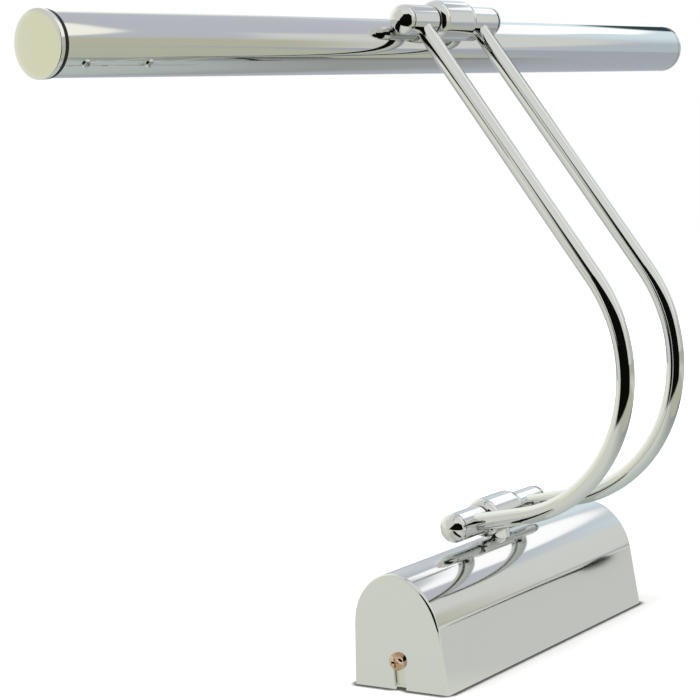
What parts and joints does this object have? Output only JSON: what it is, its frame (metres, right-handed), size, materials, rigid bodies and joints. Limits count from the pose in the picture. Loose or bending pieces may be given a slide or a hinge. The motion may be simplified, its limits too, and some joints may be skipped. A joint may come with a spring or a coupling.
{
  "type": "bathroom mirror light",
  "caption": "Wall light for over a mirror: an arched chromed base, two bent swing arms on friction hinges and a slotted tube lamp that tilts.",
  "frame": {"origin": "middle of the base's flat wall face", "axes": "+X up the wall, towards the side that the arms bulge to; +Y along the lamp tube and the base; +Z out of the wall"},
  "size_m": [0.1268, 0.4736, 0.3034],
  "materials": {
    "chrome": "bright chrome plate on brass and steel",
    "zinc_steel": "zinc plated steel",
    "nickel_brass": "nickel plated brass",
    "black_nylon": "moulded black nylon",
    "spacer_nylon": "moulded natural nylon",
    "black_rubber": "moulded black rubber",
    "driver_case": "moulded white driver case, potted",
    "terminal_nylon": "moulded natural nylon",
    "lead_sheath": "white lead sheath",
    "supply_sheath": "brown lead sheath",
    "earth_sheath": "green and yellow lead sheath",
    "aluminium_tray": "extruded aluminium",
    "white_board": "white solder mask on an aluminium core board",
    "led_phosphor": "cast phosphor",
    "opal_acrylic": "extruded opal acrylic"
  },
  "bodies": {
    "base": {"base_cover": "chrome", "end_screws": "nickel_brass", "wall_bracket": "zinc_steel", "cable_grommet": "black_rubber", "led_driver": "driver_case", "driver_screws": "zinc_steel", "terminal_block": "terminal_nylon", "terminal_sleeves": "nickel_brass", "terminal_screws": "zinc_steel", "earth_stud": "zinc_steel", "earth_washer": "zinc_steel", "earth_nut": "zinc_steel", "earth_lead": "earth_sheath", "supply_leads": "supply_sheath", "lamp_leads": "lead_sheath", "lower_knuckle": "chrome", "lower_axle": "zinc_steel", "lower_washers": "black_nylon", "lower_dome_nuts": "chrome", "lower_stud": "zinc_steel", "lower_spacer": "spacer_nylon", "lower_lock_washer": "zinc_steel", "lower_nut": "zinc_steel"},
    "arms": {"arm_near": "chrome", "arm_far": "chrome", "arm_lead_near": "lead_sheath", "arm_lead_far": "lead_sheath", "lower_barrel_near": "chrome", "lower_barrel_far": "chrome", "upper_barrel_near": "chrome", "upper_barrel_far": "chrome"},
    "head": {"upper_knuckle": "chrome", "upper_axle": "zinc_steel", "upper_washers": "black_nylon", "upper_dome_nuts": "chrome", "upper_stud": "zinc_steel", "upper_spacer": "spacer_nylon", "upper_lock_washer": "zinc_steel", "upper_nut": "zinc_steel", "lamp_tube": "chrome", "cap_seals": "black_rubber", "head_rivets": "aluminium_tray", "led_carrier": "aluminium_tray", "led_board": "white_board", "led_chips": "led_phosphor", "diffuser": "opal_acrylic", "head_connectors": "terminal_nylon", "head_leads": "lead_sheath", "end_cap_near": "chrome", "end_cap_far": "chrome"}
  },
  "joints": [
    {"name": "lower_tilt", "type": "hinge", "parent": "base", "child": "arms", "pos_m": [0, 0, 0.0619], "axis": [0, 1, 0], "range_deg": [-75, 35]},
    {"name": "head_tilt", "type": "hinge", "parent": "arms", "child": "head", "pos_m": [-0.00321, 0, 0.29417], "axis": [0, 1, 0], "range_deg": [-30, 90]}
  ]
}
